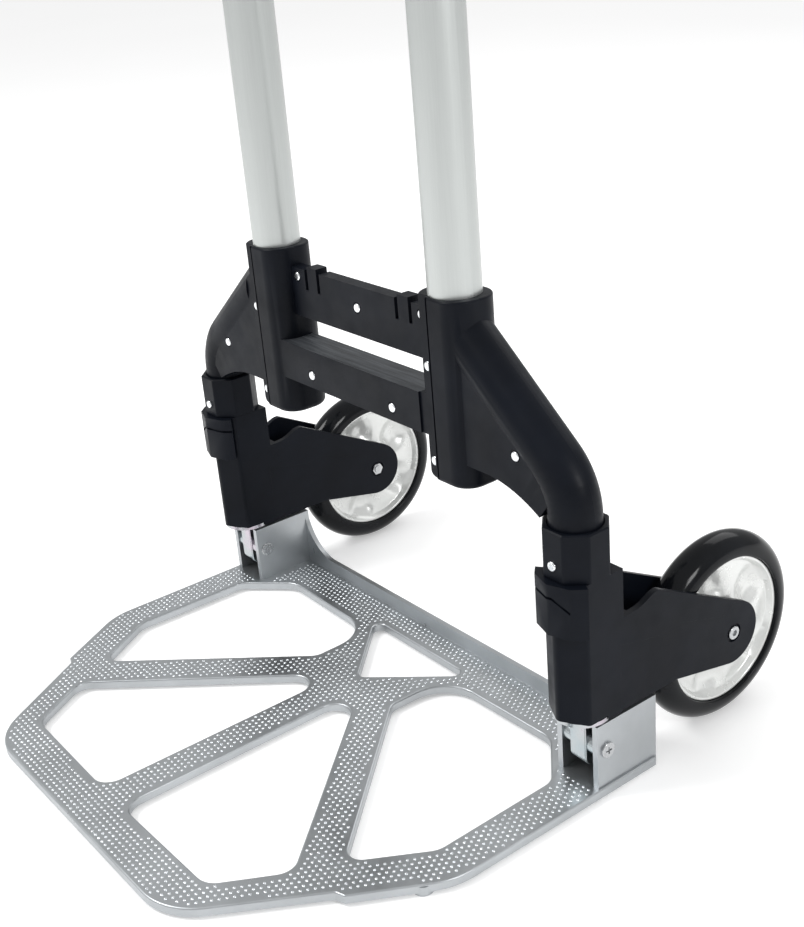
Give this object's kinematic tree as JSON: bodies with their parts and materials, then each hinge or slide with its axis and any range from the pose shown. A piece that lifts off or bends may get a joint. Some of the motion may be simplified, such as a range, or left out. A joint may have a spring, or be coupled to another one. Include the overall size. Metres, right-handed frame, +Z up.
{
  "type": "folding hand truck",
  "caption": "Folding hand truck with a hinged cast toe plate, swivelling wheel brackets and a telescoping handle on two tubes.",
  "frame": {"origin": "on the floor, on the centre plane, in the middle of the standing truck from the front edge of its toe plate to the backs of its wheels", "axes": "+Z up along the tubes, -Y towards the front of the toe plate, +Y towards the wheels, +X to the truck's own left when seen from behind the handle"},
  "size_m": [0.3996, 0.4174, 1.0026],
  "materials": {
    "cast_aluminium": "satin",
    "tube_aluminium": "satin",
    "black_plastic": "satin",
    "zinc": "bright",
    "bright_steel": "bright",
    "dark_steel": "satin",
    "rivet_steel": "polished",
    "tyre_black": "gloss",
    "hub_white": "gloss",
    "nylon": "matte",
    "button_plastic": "satin",
    "grip_rubber": "matte"
  },
  "bodies": {
    "frame": {"frame_front_shell": "black_plastic", "frame_rear_shell": "black_plastic", "frame_rivets": "rivet_steel", "collar_rivets": "rivet_steel", "right_collar": "black_plastic", "left_collar": "black_plastic", "right_post": "bright_steel", "left_post": "bright_steel", "right_foot": "zinc", "left_foot": "zinc", "right_main_tube": "tube_aluminium", "left_main_tube": "tube_aluminium", "tube_guides": "nylon", "lock_housing_front": "black_plastic", "lock_housing_rear": "black_plastic", "housing_screws": "dark_steel", "button_spring": "bright_steel"},
    "toe_plate": {"toe_plate": "cast_aluminium", "hinge_barrels": "bright_steel", "hinge_screws": "bright_steel", "hinge_washers": "nylon"},
    "handle": {"right_inner_tube": "tube_aluminium", "left_inner_tube": "tube_aluminium", "tube_glides": "nylon", "handle_front": "black_plastic", "handle_rear": "black_plastic", "handle_grip": "grip_rubber", "handle_screws": "dark_steel"},
    "release_button": {"release_button": "button_plastic"},
    "right_lock_pin": {"right_lock_pin": "bright_steel"},
    "left_lock_pin": {"left_lock_pin": "bright_steel"},
    "right_bracket": {"right_bracket": "black_plastic", "right_swivel_bushes": "nylon", "right_axle_bolt": "bright_steel", "right_axle_nut": "bright_steel", "right_axle_washers": "nylon"},
    "right_wheel": {"right_wheel_hub": "hub_white", "right_tyre": "tyre_black", "right_wheel_bearing": "nylon"},
    "left_bracket": {"left_bracket": "black_plastic", "left_swivel_bushes": "nylon", "left_axle_bolt": "bright_steel", "left_axle_nut": "bright_steel", "left_axle_washers": "nylon"},
    "left_wheel": {"left_wheel_hub": "hub_white", "left_tyre": "tyre_black", "left_wheel_bearing": "nylon"}
  },
  "joints": [
    {"name": "toe_plate_fold", "type": "hinge", "parent": "frame", "child": "toe_plate", "pos_m": [0, 0.03775, 0.0315], "axis": [-1, 0, 0], "range_deg": [0, 90]},
    {"name": "right_bracket_swing", "type": "hinge", "parent": "frame", "child": "right_bracket", "pos_m": [0.1795, 0.03425, 0.1], "axis": [0, 0, 1], "range_deg": [0, 90]},
    {"name": "left_bracket_swing", "type": "hinge", "parent": "frame", "child": "left_bracket", "pos_m": [-0.1795, 0.03425, 0.1], "axis": [0, 0, -1], "range_deg": [0, 90]},
    {"name": "right_wheel_spin", "type": "hinge", "parent": "right_bracket", "child": "right_wheel", "pos_m": [0.1795, 0.14775, 0.061], "axis": [1, 0, 0], "continuous": true},
    {"name": "left_wheel_spin", "type": "hinge", "parent": "left_bracket", "child": "left_wheel", "pos_m": [-0.1795, 0.14775, 0.061], "axis": [1, 0, 0], "continuous": true},
    {"name": "handle_slide", "type": "slide", "parent": "frame", "child": "handle", "axis": [0, 0, 1], "range_m": [-0.28, 0]},
    {"name": "release_button_press", "type": "slide", "parent": "frame", "child": "release_button", "axis": [0, 0, -1], "range_m": [0, 0.006], "stiffness_N_per_m": 400, "springref_m": -0.004, "deforming": ["button_spring"]},
    {"name": "right_lock_pin_slide", "type": "slide", "parent": "frame", "child": "right_lock_pin", "axis": [-1, 0, 0], "range_m": [0, 0.0043]},
    {"name": "left_lock_pin_slide", "type": "slide", "parent": "frame", "child": "left_lock_pin", "axis": [1, 0, 0], "range_m": [0, 0.0043]}
  ],
  "couplings": [
    {"joint": "right_bracket_swing", "follows": "toe_plate_fold", "ratio": 1},
    {"joint": "left_bracket_swing", "follows": "toe_plate_fold", "ratio": 1},
    {"joint": "right_lock_pin_slide", "follows": "release_button_press", "ratio": 0.7},
    {"joint": "left_lock_pin_slide", "follows": "release_button_press", "ratio": 0.7}
  ]
}
